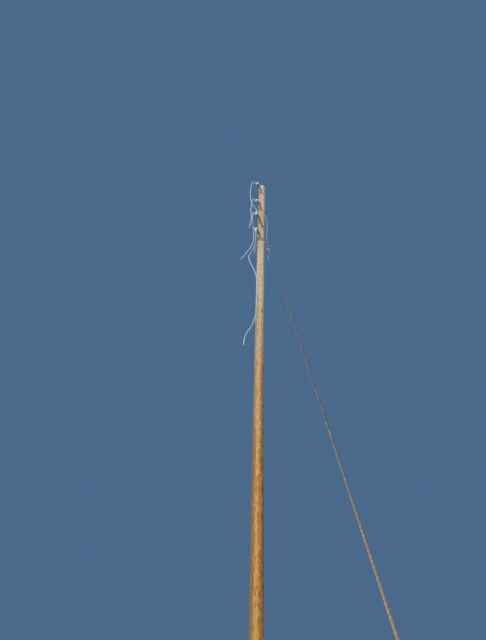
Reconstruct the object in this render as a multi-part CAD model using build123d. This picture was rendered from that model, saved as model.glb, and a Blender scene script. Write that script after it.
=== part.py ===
# Wooden utility pole with shackle dead ends, service hooks, jumper tails and a ground stay.
# Frame: origin on the pole's axis at ground level, +Z up, +X to the viewer's right, -Y towards the viewer.
# Azimuths are degrees round the pole, from 0 towards the viewer (-Y) and growing towards -X.

from build123d import *
import math
import os

os.makedirs("parts", exist_ok=True)

# Pole
pole_height = 12000.0
ground_radius = 120.0
top_radius = 73.0
pole_bow = 30.0
shaft_sections = 7
top_edge_round = 6.0

# Sheet cap pressed over the top
cap_depth = 190.0
cap_thickness = 2.0
cap_lip_width = 4.0
cap_lip_height = 8.0

# Clearances
seat_gap = 0.3
bolt_hole_clearance = 1.0
pin_hole_clearance = 0.3
wire_clearance = 0.3

# Through bolts with square washers
bolt_radius = 8.0
head_height = 10.0
head_flats = 24.0
nut_height = 14.0
thread_tail = 22.0
washer_side = 60.0
washer_thickness = 5.0

# Shackle straps
strap_width = 40.0
strap_thickness = 6.0
strap_bend = 10.0
strap_standoff = 44.0

# Spool insulators
spool_height = 76.0
spool_radius = 40.0
spool_neck_radius = 23.0
spool_rim = 13.0
spool_edge_round = 6.0
spool_saddle_inset = 4.0
pin_radius = 8.0
pin_head_radius = 14.0
pin_head_height = 8.0
bolt_tail = 8.0

# Line conductor and the loop that it makes round each spool
wire_radius = 7.0
loop_grip = 24.0

# Line clamps
clamp_length = 52.0
mouth_depth = 24.0
clamp_thickness = 28.0
clamp_side_wall = 9.0
clamp_bolt_radius = 5.0
clamp_bolt_half = 22.0
clamp_nut_height = 9.0
clamp_waist_depth = 4.0
clamp_rim_gap = 5.0

# Dead ends, A to D for the near line and E for the far one:
# depth below the pole's top, strap azimuth, heading of the line, side of the tail leg
dead_ends = {
    "A": (120.0, 35.0, 25.0, -1),
    "B": (780.0, 35.0, 25.0, -1),
    "C": (1280.0, 35.0, 25.0, -1),
    "D": (1820.0, 35.0, 25.0, -1),
    "E": (2010.0, 138.0, 165.0, 1),
}
stub_ends = ("D",)
stub_length = 45.0

# Connectors that join two jumpers side by side
connector_length = 60.0
connector_thickness = 30.0
connector_spacing = 24.0
connector_wall = 8.0

connector_bolt_radius = 2.5
jumper_clearance = 0.6
tap_depth = 24.0

# Tap connectors on line clamps: 1 stands on top of the clamp, -1 hangs under it
tap_facings = {"C": 1, "D": -1, "E": -1}

# Places of the two hanging connectors: x, y and depth below the pole's top
jumper_connector_place = (-250.0, -300.0, 1540.0)
service_connector_place = (126.0, 108.0, 1884.0)

# Lug behind one through bolt
lug_width = 30.0
lug_thickness = 4.0
lug_drop = 26.0
lug_overlap = 8.0
lug_barrel_length = 42.0
lug_barrel_radius = 10.5

# Jumpers: how far they go into a socket, their straight lead out of it,
# and the share of a run that the arc at its end may take
jumper_insert = 18.0
jumper_lead = 52.0
arc_share = 0.45

# Stay
stay_depth = 1550.0
stay_foot = (46.0, -8150.0)
stay_wire_radius = 5.4
band_height = 50.0
band_thickness = 6.0
band_gap = 24.0
ear_length = 44.0
ear_bolt_reach = 26.0
thimble_eye_radius = 13.0
thimble_groove_radius = 23.0
thimble_rim_radius = 28.0
thimble_thickness = 20.0
thimble_lip = 2.5
grip_rod_radius = 5.0
grip_wall = 5.6
grip_length = 760.0
grip_throat = 150.0
rod_radius = 10.0
rod_eye_radius = 20.0
rod_length = 420.0

# Service hooks, by depth below the pole's top and azimuth, and wedge clamps
service_hooks = {
    "upper": (1960.0, -112.0),
    "lower": (2240.0, -100.0),
}
hook_eye_radius = 19.0
hook_wire_radius = 8.0
hook_reach = 46.0
service_wire_radius = 4.0
bail_radius = 3.5
bail_length = 150.0
bail_grip = 22.0
wedge_length = 130.0
wedge_width = 34.0
wedge_tip_width = 22.0
wedge_thickness = 22.0
wedge_tip_thickness = 16.0
wedge_corner = 5.0
service_headings = {
    "upper": (0.30, 0.93, -0.21),
    "lower": (0.16, 0.96, -0.21),
}


hook_ring_radius = hook_eye_radius + hook_wire_radius
stay_height = pole_height - stay_depth


def end_place(name):
    """Height, strap azimuth, heading of the line and tail side of one dead end."""
    depth, azimuth, heading, tail_side = dead_ends[name]
    return pole_height - depth, azimuth, heading, tail_side


def hook_place(name):
    """Height and azimuth of one service hook."""
    depth, azimuth = service_hooks[name]
    return pole_height - depth, azimuth


def axis_x(z):
    """Sideways place of the pole's axis at a height, bowed from foot to top."""
    share = z / pole_height
    return -4.0 * pole_bow * share * (1.0 - share)


def pole_radius(z):
    """Radius of the tapered shaft at a height."""
    return ground_radius + (top_radius - ground_radius) * z / pole_height


def outward(azimuth):
    """Unit vector away from the pole at an azimuth."""
    turn = math.radians(azimuth)
    return Vector(-math.sin(turn), -math.cos(turn), 0)


def pole_plane(z, azimuth):
    """Plane on the axis at a height: its x points outward, its z points up."""
    return Plane(origin=(axis_x(z), 0, z), x_dir=outward(azimuth), z_dir=(0, 0, 1))


def surface_reach(z, azimuth, half_height):
    """Distance from the axis at z to the furthest wood or cap within half_height above or below."""
    direction = outward(azimuth)
    reaches = []
    for level in (z - half_height, z + half_height):
        shift = axis_x(level) - axis_x(z)
        reaches.append(pole_radius(level) + shift * direction.X)
    cover = seat_gap + cap_thickness if z + half_height > pole_height - cap_depth else 0.0
    return max(reaches) + cover


def box_between(low, high):
    """Box given by its two opposite corners."""
    size = [b - a for a, b in zip(low, high)]
    middle = [(a + b) / 2 for a, b in zip(low, high)]
    return Pos(*middle) * Box(*size)


def rod_along_x(x0, x1, radius, y=0.0, z=0.0):
    """Round bar along x between two stations."""
    return Pos((x0 + x1) / 2, y, z) * Rot(0, 90, 0) * Cylinder(radius, x1 - x0)


def hexagon_along_x(x0, x1, flats):
    """Hexagonal head or nut along x between two stations."""
    face = Plane.YZ.offset(x0) * RegularPolygon(flats / math.sqrt(3), 6)
    return extrude(face, x1 - x0)


# Places within one dead end, out from the pole's seat
strap_inner_height = spool_height + 2 * seat_gap
strap_outer_height = strap_inner_height + 2 * strap_thickness
pin_reach = strap_thickness + head_height + strap_standoff + spool_radius
loop_radius = spool_neck_radius + wire_clearance + wire_radius
clamp_start = spool_radius + clamp_rim_gap
clamp_end = clamp_start + clamp_length
clamp_half_width = loop_radius + wire_radius + clamp_side_wall


def strap_seat(z, azimuth):
    """Where the back of a strap stands off the axis."""
    return surface_reach(z, azimuth, strap_outer_height / 2) + seat_gap


def bolt_bores(radius):
    """All the cross holes that the through bolts and service hooks need."""
    half_span = 2 * ground_radius
    lines = [end_place(name)[:2] for name in dead_ends] + [hook_place(name) for name in service_hooks]
    bores = []
    for z, azimuth in lines:
        bores.append(pole_plane(z, azimuth).location * rod_along_x(-half_span, half_span, radius))
    return bores


def make_shaft():
    """Tapered, slightly bowed round shaft with its bolt holes."""
    sections = []
    for i in range(shaft_sections):
        z = pole_height * i / (shaft_sections - 1)
        sections.append(Pos(axis_x(z), 0, z) * Circle(pole_radius(z)))
    shaft = loft(sections)
    shaft = chamfer(shaft.edges().sort_by(Axis.Z)[-1], top_edge_round)
    return shaft - bolt_bores(bolt_radius + bolt_hole_clearance)


def make_cap():
    """Thin sheet cap over the top of the shaft, with a turned lip."""
    low = pole_height - cap_depth
    wall = seat_gap + cap_thickness
    lean = axis_x(low)
    skirt_low = Pos(lean, 0, low) * Circle(pole_radius(low) + wall)
    skirt_high = Pos(0, 0, pole_height + wall) * Circle(top_radius + wall)
    hollow_low = Pos(lean, 0, low) * Circle(pole_radius(low) + seat_gap)
    hollow_high = Pos(0, 0, pole_height + seat_gap) * Circle(top_radius + seat_gap)
    outside = loft([skirt_low, skirt_high])
    outside = fillet(outside.edges().sort_by(Axis.Z)[-1], cap_thickness)
    lip = Pos(lean, 0, low + cap_lip_height / 2) * Cylinder(pole_radius(low) + cap_lip_width, cap_lip_height)
    cap = outside + lip - loft([hollow_low, hollow_high])
    return cap - bolt_bores(bolt_radius + bolt_hole_clearance)


def make_strap(z, azimuth):
    """Flat bar bent to a U that holds a spool, with round ends at its pin."""
    seat = strap_seat(z, azimuth)
    pin_x = seat + pin_reach
    end_x = pin_x + strap_width / 2
    outer = box_between(
        (seat, -strap_width / 2, -strap_outer_height / 2),
        (end_x, strap_width / 2, strap_outer_height / 2),
    )
    back_edges = outer.edges().filter_by(Axis.Y).group_by(Axis.X)[0]
    outer = fillet(back_edges, strap_bend)
    inner = box_between(
        (seat + strap_thickness, -strap_width, -strap_inner_height / 2),
        (end_x + strap_width, strap_width, strap_inner_height / 2),
    )
    inner_edges = inner.edges().filter_by(Axis.Y).group_by(Axis.X)[0]
    inner = fillet(inner_edges, strap_bend - strap_thickness)
    plan = box_between(
        (seat, -strap_width / 2, -strap_outer_height),
        (pin_x, strap_width / 2, strap_outer_height),
    )
    plan += Pos(pin_x, 0, 0) * Cylinder(strap_width / 2, 2 * strap_outer_height)
    strap = (outer - inner) & plan
    strap -= Pos(pin_x, 0, 0) * Cylinder(pin_radius + pin_hole_clearance, 2 * strap_outer_height)
    strap -= rod_along_x(0, pin_x - spool_radius, bolt_radius + pin_hole_clearance)
    return pole_plane(z, azimuth).location * strap


def spool_plane(z, azimuth, heading):
    """Plane on a spool's middle: its x points along the line that it holds."""
    centre = pole_plane(z, azimuth).from_local_coords((strap_seat(z, azimuth) + pin_reach, 0, 0))
    return Plane(origin=centre, x_dir=outward(heading), z_dir=(0, 0, 1))


def make_spool(z, azimuth, heading):
    """Glazed spool insulator: two rims, a saddle groove and a pin hole."""
    half = spool_height / 2
    edge = spool_radius - spool_edge_round
    saddle = spool_radius - spool_saddle_inset
    hole = pin_radius + pin_hole_clearance
    with BuildPart() as spool:
        with BuildSketch(Plane.XZ):
            with BuildLine():
                Polyline((hole, -half), (edge, -half))
                ThreePointArc((edge, -half), (spool_radius, -half + spool_rim / 2), (saddle, -half + spool_rim))
                ThreePointArc((saddle, -half + spool_rim), (spool_neck_radius, 0), (saddle, half - spool_rim))
                ThreePointArc((saddle, half - spool_rim), (spool_radius, half - spool_rim / 2), (edge, half))
                Polyline((edge, half), (hole, half), (hole, -half))
            make_face()
        revolve(axis=Axis.Z)
    return spool_plane(z, azimuth, heading).location * spool.part


def make_pin(z, azimuth, heading):
    """Spool pin with a round head above and a collar nut below."""
    arm = strap_outer_height / 2 + seat_gap
    pin = Cylinder(pin_radius, 2 * arm + pin_head_height)
    head = Pos(0, 0, arm + pin_head_height / 2) * Cylinder(pin_head_radius, pin_head_height)
    nut_low = -arm - nut_height
    nut = extrude(Plane.XY.offset(nut_low) * RegularPolygon(head_flats / math.sqrt(3), 6), nut_height)
    tail = Pos(0, 0, nut_low - bolt_tail / 2) * Cylinder(pin_radius, bolt_tail)
    return spool_plane(z, azimuth, heading).location * (pin + head + nut + tail)


def make_through_bolt(z, azimuth):
    """Bolt through strap and pole, with its head in the strap and washer and nut behind."""
    front = strap_seat(z, azimuth) + strap_thickness + seat_gap
    back = surface_reach(z, azimuth + 180, washer_side / 2) + seat_gap
    washer_back = -back - washer_thickness
    nut_back = washer_back - nut_height
    bolt = rod_along_x(nut_back - thread_tail, front, bolt_radius)
    bolt += hexagon_along_x(front, front + head_height, head_flats)
    bolt += box_between(
        (washer_back, -washer_side / 2, -washer_side / 2),
        (-back, washer_side / 2, washer_side / 2),
    )
    bolt += hexagon_along_x(nut_back, washer_back, head_flats)
    return pole_plane(z, azimuth).location * bolt


def make_fixings(z, azimuth, heading):
    """Through bolt and spool pin of one dead end."""
    return Compound(children=[make_through_bolt(z, azimuth), make_pin(z, azimuth, heading)])


def make_loop(z, azimuth, heading, tail_side, stub):
    """Conductor turned round the spool's groove, with both legs in the line clamp."""
    leg = clamp_start + loop_grip
    tail = clamp_end + stub_length if stub else leg
    start = -tail_side * loop_radius
    path = Line((leg, start), (0, start))
    path += ThreePointArc((0, start), (-loop_radius, 0), (0, -start))
    path += Line((0, -start), (tail, -start))
    section = Plane(origin=(leg, start, 0), z_dir=(-1, 0, 0)) * Circle(wire_radius)
    loop = sweep(section, path=path)
    return spool_plane(z, azimuth, heading).location * loop


def make_line_clamp(z, azimuth, heading, tail_side, stub):
    """Line clamp: its near sockets hold the loop, its far mouths take the line and the jumper."""
    body = box_between(
        (clamp_start, -clamp_half_width, -clamp_thickness / 2),
        (clamp_end, clamp_half_width, clamp_thickness / 2),
    )
    body = fillet(body.edges().filter_by(Axis.X), clamp_thickness / 3)
    waist = clamp_thickness / 2 - clamp_waist_depth
    room = loop_radius - wire_radius - clamp_side_wall / 2
    for side in (-1, 1):
        low = min(side * waist, side * clamp_thickness)
        high = max(side * waist, side * clamp_thickness)
        body -= box_between((clamp_start - 1, -room, low), (clamp_end + 1, room, high))
    groove = wire_radius + wire_clearance
    for side in (-1, 1):
        body -= rod_along_x(clamp_start - 1, clamp_start + loop_grip + seat_gap, groove, side * loop_radius)
        mouth = clamp_length + 1 if stub and side == tail_side else mouth_depth
        body -= rod_along_x(clamp_end - mouth, clamp_end + 1, groove, side * loop_radius)
    middle = (clamp_start + clamp_end) / 2
    body += Pos(middle, 0, 0) * Cylinder(clamp_bolt_radius, 2 * clamp_bolt_half)
    hexagon = RegularPolygon(2 * clamp_bolt_radius, 6)
    body += Pos(middle, 0, waist) * extrude(hexagon, clamp_nut_height)
    body += Pos(middle, 0, -waist - clamp_nut_height) * extrude(hexagon, clamp_nut_height)
    return spool_plane(z, azimuth, heading).location * body


def tap_plane(name):
    """Plane of a tap connector's foot, at the end of a line clamp's bolt, with z towards its mouth."""
    z, azimuth, heading, _ = end_place(name)
    middle = (clamp_start + clamp_end) / 2
    facing = tap_facings[name]
    foot = facing * (clamp_bolt_half + seat_gap)
    origin = spool_plane(z, azimuth, heading).from_local_coords((middle, 0, foot))
    return Plane(origin=origin, x_dir=outward(heading), z_dir=(0, 0, facing))


def make_tap_connector(name):
    """Connector at the end of a line clamp's bolt that takes one jumper in its far mouth."""
    height = connector_length
    block = Box(connector_spacing + connector_wall, connector_thickness, height)
    block = fillet(block.edges().filter_by(Axis.Z), connector_wall / 2)
    block = Pos(0, 0, height / 2) * block
    block -= Pos(0, 0, height) * Cylinder(wire_radius + wire_clearance, 2 * tap_depth)
    return tap_plane(name).location * block


def make_jumper_connector():
    """Block with two upright grooves, side by side, that joins two jumpers."""
    width = connector_spacing + 2 * (wire_radius + connector_wall)
    block = Box(width, connector_thickness, connector_length)
    block = fillet(block.edges().filter_by(Axis.Z), connector_wall)
    for side in (-1, 1):
        block -= Pos(side * connector_spacing / 2, 0, 0) * Cylinder(
            wire_radius + jumper_clearance, 2 * connector_length
        )
    bolt = Rot(90, 0, 0) * Cylinder(connector_bolt_radius, connector_thickness + 2 * clamp_nut_height)
    x, y, depth = jumper_connector_place
    return Pos(x, y, pole_height - depth) * (block + bolt)


def lug_face(name):
    """Distance behind the axis of a lug's palm, on the nut of its through bolt."""
    z, azimuth, _, _ = end_place(name)
    washer_face = surface_reach(z, azimuth + 180, washer_side / 2) + seat_gap
    return washer_face + washer_thickness + nut_height + seat_gap


def lug_barrel_foot(name):
    """Middle of the open lower end of a lug's barrel."""
    z, azimuth, _, _ = end_place(name)
    return pole_plane(z, azimuth).from_local_coords(
        (-lug_face(name) - lug_barrel_radius, 0, -lug_drop - lug_barrel_length)
    )


def make_bolt_lug(name):
    """Cable lug on the back end of a through bolt, with its barrel pointing down."""
    z, azimuth, _, _ = end_place(name)
    palm_back = -lug_face(name) - lug_thickness
    palm = box_between(
        (palm_back, -lug_width / 2, -lug_drop - lug_overlap),
        (palm_back + lug_thickness, lug_width / 2, lug_width / 2),
    )
    palm = fillet(palm.edges().filter_by(Axis.X).group_by(Axis.Z)[-1], lug_width / 3)
    palm -= rod_along_x(palm_back - 1, 0, bolt_radius + pin_hole_clearance)
    barrel = Pos(-lug_face(name) - lug_barrel_radius, 0, -lug_drop - lug_barrel_length / 2) * (
        Cylinder(lug_barrel_radius, lug_barrel_length)
        - Pos(0, 0, -lug_overlap) * Cylinder(wire_radius + wire_clearance, lug_barrel_length)
    )
    return pole_plane(z, azimuth).location * (palm + barrel)


def make_service_connector():
    """Insulated connector at the lower end of the tap cable, with a mouth for a service wire."""
    height = connector_length
    block = Box(connector_spacing + connector_wall, connector_thickness, height)
    block = fillet(block.edges(), connector_wall / 2)
    block -= Pos(0, 0, height / 2) * Cylinder(wire_radius + wire_clearance, 2 * tap_depth)
    block -= Pos(0, 0, -height / 2) * Cylinder(service_wire_radius + wire_clearance, tap_depth)
    x, y, depth = service_connector_place
    return Pos(x, y, pole_height - depth) * block


def make_cord(points):
    """Round tube along straight runs joined by the largest tangent arcs that the runs allow."""
    radii = []
    for before, at, after in zip(points, points[1:], points[2:]):
        turn = math.radians((at - before).get_angle(after - at))
        shorter = min((at - before).length, (after - at).length)
        radii.append(arc_share * shorter / math.tan(turn / 2))
    path = FilletPolyline(*points, radius=radii)
    section = Plane(origin=points[0], z_dir=points[1] - points[0]) * Circle(wire_radius)
    tube = sweep(section, path=path)
    expected = math.pi * wire_radius**2 * path.length
    print("  radii", [round(r) for r in radii], "length", round(path.length), "volume ratio",
          round(tube.volume / expected, 4))
    return tube


def unit(vector):
    """Vector of length one along a vector."""
    return vector * (1 / vector.length)


# The stay runs from the front bolt of its band to a rod in the ground
stay_azimuth = math.degrees(math.atan2(-(stay_foot[0] - axis_x(stay_height)), -stay_foot[1]))
band_inner = surface_reach(stay_height, stay_azimuth, band_height / 2) + seat_gap
band_outer = band_inner + band_thickness
ear_bolt_x = band_outer + ear_bolt_reach
band_plane = pole_plane(stay_height, stay_azimuth)
ear_bolt_place = band_plane.from_local_coords((ear_bolt_x, 0, 0))
foot_place = Vector(stay_foot[0], stay_foot[1], 0)
stay_direction = unit(foot_place - ear_bolt_place)
thimble_shift = thimble_eye_radius - bolt_radius - seat_gap
top_stay_plane = Plane(
    origin=ear_bolt_place + stay_direction * thimble_shift,
    x_dir=stay_direction,
    z_dir=band_plane.y_dir,
)
rod_eye_reach = rod_eye_radius + rod_radius
bottom_stay_plane = Plane(
    origin=foot_place - stay_direction * (rod_length + rod_eye_reach),
    x_dir=-stay_direction,
    z_dir=band_plane.y_dir.cross(stay_direction),
)
stay_span = (bottom_stay_plane.origin - top_stay_plane.origin).length


def make_band_half(side):
    """Half of the stay band with a flat ear at front and back."""
    ring = extrude(Circle(band_outer) - Circle(band_inner), band_height / 2, both=True)
    reach = band_outer + ear_length
    keep = box_between(
        (-reach, min(side * band_gap / 2, side * reach), -band_height),
        (reach, max(side * band_gap / 2, side * reach), band_height),
    )
    half = ring & keep
    for end in (-1, 1):
        inner_face = side * band_gap / 2
        outer_face = side * (band_gap / 2 + band_thickness)
        root = math.sqrt(band_inner**2 - (band_gap / 2 + band_thickness) ** 2)
        tip = band_outer + ear_length
        ear = box_between(
            (min(end * root, end * tip), min(inner_face, outer_face), -band_height / 2),
            (max(end * root, end * tip), max(inner_face, outer_face), band_height / 2),
        )
        tip_edges = ear.edges().filter_by(Axis.Y).sort_by(Axis.X)
        tip_edges = tip_edges[-2:] if end > 0 else tip_edges[:2]
        ear = fillet(tip_edges, band_height / 4)
        ear -= Pos(end * ear_bolt_x, 0, 0) * Rot(90, 0, 0) * Cylinder(
            bolt_radius + pin_hole_clearance, 4 * band_gap
        )
        half += ear
    half -= Cylinder(band_inner, 2 * band_height)
    return band_plane.location * half


def make_band_bolts():
    """Front and back ear bolts, each with its head and nut."""
    bolts = []
    ear_face = band_gap / 2 + band_thickness + seat_gap
    for end in (-1, 1):
        shank = rod_along_x(-ear_face - head_height - bolt_tail, ear_face, bolt_radius)
        shank += hexagon_along_x(ear_face, ear_face + head_height, head_flats)
        shank += hexagon_along_x(-ear_face - head_height, -ear_face, head_flats)
        bolts.append(band_plane.location * Pos(end * ear_bolt_x, 0, 0) * Rot(0, 0, 90) * shank)
    return Compound(children=bolts)


def make_thimble():
    """Grooved ring that hangs on the front ear bolt and carries the stay's loop."""
    half = thimble_thickness / 2
    lip_start = half - thimble_lip
    with BuildPart() as ring:
        with BuildSketch(Plane.XZ):
            with BuildLine():
                Polyline(
                    (thimble_rim_radius, -half),
                    (thimble_eye_radius, -half),
                    (thimble_eye_radius, half),
                    (thimble_rim_radius, half),
                    (thimble_rim_radius, lip_start),
                )
                ThreePointArc(
                    (thimble_rim_radius, lip_start), (thimble_groove_radius, 0), (thimble_rim_radius, -lip_start)
                )
                Line((thimble_rim_radius, -lip_start), (thimble_rim_radius, -half))
            make_face()
        revolve(axis=Axis.Z)
    return top_stay_plane.location * ring.part


def make_grip(plane, turn_radius):
    """Formed grip: a loop round an eye, whose legs close on the stay wire in a long sleeve."""
    loop_turn = turn_radius + seat_gap + grip_rod_radius
    leg_spread = grip_rod_radius + wire_clearance
    throat = math.hypot(grip_throat, leg_spread)
    tangent_at = math.atan2(leg_spread, grip_throat) + math.acos(loop_turn / throat)
    tangent = (loop_turn * math.cos(tangent_at), loop_turn * math.sin(tangent_at))
    lower = (tangent[0], -tangent[1])
    path = Line((grip_throat, leg_spread), tangent)
    path += ThreePointArc(tangent, (-loop_turn, 0), lower)
    path += Line(lower, (grip_throat, -leg_spread))
    heading = Vector(tangent[0] - grip_throat, tangent[1] - leg_spread, 0)
    section = Plane(origin=(grip_throat, leg_spread, 0), z_dir=heading) * Circle(grip_rod_radius)
    loop = sweep(section, path=path)
    outer = stay_wire_radius + grip_wall
    sleeve = rod_along_x(grip_throat - 3 * grip_rod_radius, grip_throat + grip_length, outer)
    sleeve -= rod_along_x(
        grip_throat + grip_rod_radius, grip_throat + grip_length + 1, stay_wire_radius + wire_clearance
    )
    return plane.location * (loop + sleeve)


def make_stay_wire():
    """Straight stay wire between the two grips."""
    start = grip_throat + grip_rod_radius + seat_gap
    wire = rod_along_x(start, stay_span - start, stay_wire_radius)
    return top_stay_plane.location * wire


def make_stay_rod():
    """Ground rod with a forged eye at its top, cut off at ground level."""
    eye_plane = Plane(
        origin=foot_place - stay_direction * rod_length,
        x_dir=-stay_direction,
        z_dir=band_plane.y_dir,
    )
    eye = Torus(rod_eye_reach, rod_radius)
    below = 3 * rod_eye_reach
    shank = rod_along_x(-rod_length - below, -rod_eye_reach, rod_radius)
    rod = eye_plane.location * (eye + shank)
    ground = Pos(stay_foot[0], stay_foot[1], -below) * Box(4 * below, 4 * below, 2 * below)
    return rod - ground


def hook_eye_place(name):
    """Centre of a service hook's eye."""
    z, azimuth = hook_place(name)
    reach = surface_reach(z, azimuth, hook_wire_radius) + hook_reach + hook_ring_radius
    return pole_plane(z, azimuth).from_local_coords((reach, 0, 0))


def make_service_hook(name):
    """Eye bolt through the pole with its eye level, and a washer and nut on the far side."""
    z, azimuth = hook_place(name)
    reach = surface_reach(z, azimuth, hook_wire_radius) + hook_reach
    front = surface_reach(z, azimuth, washer_side / 2) + seat_gap
    back = surface_reach(z, azimuth + 180, washer_side / 2) + seat_gap
    washer_back = -back - washer_thickness
    nut_back = washer_back - nut_height
    hook = rod_along_x(nut_back - thread_tail, reach + hook_wire_radius / 2, hook_wire_radius)
    hook += Pos(reach + hook_ring_radius, 0, 0) * Torus(hook_ring_radius, hook_wire_radius)
    hook += box_between(
        (washer_back, -washer_side / 2, -washer_side / 2),
        (-back, washer_side / 2, washer_side / 2),
    )
    hook += box_between(
        (front, -washer_side / 2, -washer_side / 2),
        (front + washer_thickness, washer_side / 2, washer_side / 2),
    )
    hook += hexagon_along_x(front + washer_thickness, front + washer_thickness + head_height, head_flats)
    hook += hexagon_along_x(nut_back, washer_back, head_flats)
    return pole_plane(z, azimuth).location * hook


def bail_plane(name):
    """Plane of a wedge clamp's bail: its x points along the service wire."""
    heading = unit(Vector(*service_headings[name]))
    level = unit(Vector(heading.X, heading.Y, 0))
    side = unit(Vector(0, 0, 1).cross(heading))
    return Plane(origin=hook_eye_place(name) + level * hook_ring_radius, x_dir=heading, z_dir=side)


def make_wedge_clamp(name):
    """Service wedge clamp hung on a hook by its wire bail, with a bore for the service wire."""
    turn = hook_wire_radius + seat_gap + bail_radius
    leg = bail_length + bail_grip
    path = Line((leg, turn), (0, turn))
    path += ThreePointArc((0, turn), (-turn, 0), (0, -turn))
    path += Line((0, -turn), (leg, -turn))
    section = Plane(origin=(leg, turn, 0), z_dir=(-1, 0, 0)) * Circle(bail_radius)
    bail = sweep(section, path=path)
    near = Plane.YZ.offset(bail_length) * RectangleRounded(wedge_width, wedge_thickness, wedge_corner)
    far = Plane.YZ.offset(bail_length + wedge_length) * RectangleRounded(
        wedge_tip_width, wedge_tip_thickness, wedge_corner
    )
    body = loft([near, far])
    body += bail
    body -= rod_along_x(bail_length - 1, bail_length + wedge_length + 1, service_wire_radius + wire_clearance)
    return bail_plane(name).location * body


def clamp_mouth(name, reach):
    """Point in line with a line clamp's jumper mouth, at a reach beyond its far face."""
    z, azimuth, heading, tail_side = end_place(name)
    return spool_plane(z, azimuth, heading).from_local_coords((clamp_end + reach, tail_side * loop_radius, 0))


def tap_mouth(name, reach):
    """Point in line with a tap connector's mouth, at a reach beyond it."""
    return tap_plane(name).from_local_coords((0, 0, connector_length + reach))


def lug_mouth(name, reach):
    """Point in line with a lug's barrel, at a reach below it."""
    return lug_barrel_foot(name) - Vector(0, 0, reach)


def groove_point(side, reach):
    """Point in line with one groove of the jumper connector, at a reach above its middle."""
    x, y, depth = jumper_connector_place
    return Vector(x + side * connector_spacing / 2, y, pole_height - depth + reach)


def service_mouth(reach):
    """Point in line with the upper mouth of the service connector, at a reach above it."""
    x, y, depth = service_connector_place
    return Vector(x, y, pole_height - depth + connector_length / 2 + reach)


def hanging(points):
    """Points given by x, y and depth below the pole's top."""
    return [Vector(x, y, pole_height - depth) for x, y, depth in points]


# Routes of the jumpers and tails: their sockets, and free points chosen by hand
routes = {
    "jumper_A": [
        clamp_mouth("A", -jumper_insert),
        clamp_mouth("A", jumper_lead),
        *hanging([
            (-240.0, -305.0, 160.0),
            (-288.0, -312.0, 255.0),
            (-316.0, -300.0, 410.0),
            (-328.0, -285.0, 600.0),
            (-316.0, -270.0, 775.0),
            (-285.0, -258.0, 920.0),
            (-225.0, -238.0, 1025.0),
            (-170.0, -220.0, 1080.0),
        ]),
        tap_mouth("C", jumper_lead),
        tap_mouth("C", -jumper_insert),
    ],
    "jumper_B": [
        clamp_mouth("B", -jumper_insert),
        clamp_mouth("B", jumper_lead),
        *hanging([
            (-236.0, -304.0, 816.0),
            (-259.0, -312.0, 900.0),
            (-268.0, -308.0, 1035.0),
            (-285.0, -304.0, 1200.0),
            (-284.0, -302.0, 1350.0),
        ]),
        groove_point(-1, connector_length),
        groove_point(-1, -connector_length),
        *hanging([(-286.0, -296.0, 1700.0), (-312.0, -288.0, 1850.0)]),
    ],
    "jumper_C": [
        clamp_mouth("C", -jumper_insert),
        clamp_mouth("C", jumper_lead),
        *hanging([(-231.0, -308.0, 1330.0), (-237.0, -301.0, 1410.0)]),
        groove_point(1, connector_length / 2),
        groove_point(1, -connector_length),
        *hanging([
            (-226.0, -240.0, 1720.0),
            (-205.0, -150.0, 1835.0),
            (-190.0, -126.0, 2000.0),
            (-204.0, -140.0, 2185.0),
            (-258.0, -168.0, 2370.0),
            (-352.0, -190.0, 2585.0),
            (-482.0, -200.0, 2810.0),
        ]),
    ],
    "jumper_D": [
        tap_mouth("D", -jumper_insert),
        tap_mouth("D", jumper_lead),
        *hanging([
            (-152.0, -206.0, 2040.0),
            (-156.0, -172.0, 2130.0),
            (-160.0, -100.0, 2205.0),
            (-164.0, -10.0, 2255.0),
            (-166.0, 80.0, 2282.0),
            (-165.0, 158.0, 2270.0),
            (-160.0, 199.0, 2218.0),
        ]),
        tap_mouth("E", jumper_lead),
        tap_mouth("E", -jumper_insert),
    ],
    "jumper_E": [
        clamp_mouth("E", -jumper_insert),
        clamp_mouth("E", jumper_lead),
        *hanging([
            (-232.0, 318.0, 2038.0),
            (-262.0, 336.0, 2112.0),
            (-280.0, 300.0, 2200.0),
            (-292.0, 225.0, 2275.0),
            (-298.0, 130.0, 2360.0),
            (-298.0, 40.0, 2500.0),
            (-282.0, -20.0, 2660.0),
            (-228.0, -60.0, 2840.0),
            (-158.0, -74.0, 3010.0),
            (-112.0, -78.0, 3200.0),
            (-102.0, -76.0, 3520.0),
            (-105.0, -74.0, 3920.0),
            (-110.0, -78.0, 4230.0),
            (-138.0, -92.0, 4420.0),
            (-200.0, -112.0, 4605.0),
            (-290.0, -128.0, 4775.0),
            (-342.0, -132.0, 4900.0),
            (-352.0, -132.0, 5085.0),
        ]),
    ],
    "tap_cable": [
        lug_mouth("B", -jumper_insert),
        lug_mouth("B", jumper_lead),
        *hanging([
            (68.0, 94.0, 972.0),
            (95.0, 97.0, 1075.0),
            (117.0, 95.0, 1200.0),
            (129.0, 92.0, 1350.0),
            (132.0, 92.0, 1500.0),
            (129.0, 97.0, 1620.0),
            (126.0, 104.0, 1715.0),
        ]),
        service_mouth(jumper_lead),
        service_mouth(-tap_depth),
    ],
}


def export_node(name, shape):
    """Write one node's solids."""
    export_step(shape, f"parts/{name}.step")


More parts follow.
